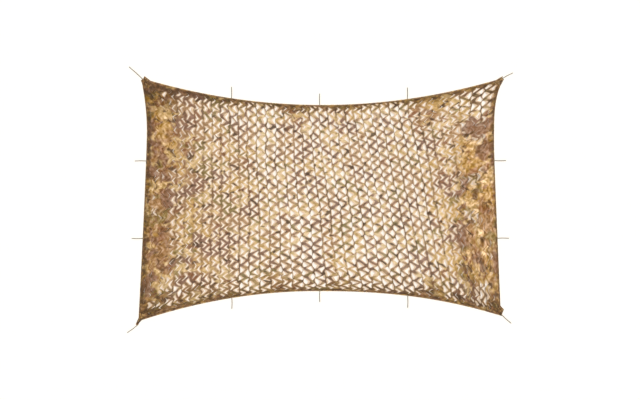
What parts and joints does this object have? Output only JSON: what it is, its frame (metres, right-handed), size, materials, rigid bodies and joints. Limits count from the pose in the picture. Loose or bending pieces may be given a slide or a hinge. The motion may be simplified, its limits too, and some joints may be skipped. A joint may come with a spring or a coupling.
{
  "type": "camouflage netting",
  "caption": "Camouflage net: one slit cloth drawn open to rows of triangular gaps, with hollow hems, gathered corners and short tie cords all round.",
  "frame": {"origin": "middle of the net's footprint on the surface it lies on, measured without the tie cords", "axes": "+X along the long hems, to the right in the picture; +Y up in the picture; +Z up from the surface, through the cloth"},
  "size_m": [3.2076, 2.2139, 0.016],
  "materials": {
    "net_cloth": "matt printed woven cloth in sand, tan, brown and olive patches",
    "tie_cord": "matt pale grey-beige braided cord"
  },
  "bodies": {
    "root": {"net_panel": "net_cloth", "tie_bottom_a": "tie_cord", "tie_bottom_b": "tie_cord", "tie_bottom_c": "tie_cord", "tie_corner_bottom_left": "tie_cord", "tie_corner_bottom_right": "tie_cord", "tie_corner_top_left": "tie_cord", "tie_corner_top_right": "tie_cord", "tie_left_a": "tie_cord", "tie_left_b": "tie_cord", "tie_right_a": "tie_cord", "tie_right_b": "tie_cord", "tie_top_a": "tie_cord", "tie_top_b": "tie_cord", "tie_top_c": "tie_cord"}
  },
  "joints": []
}
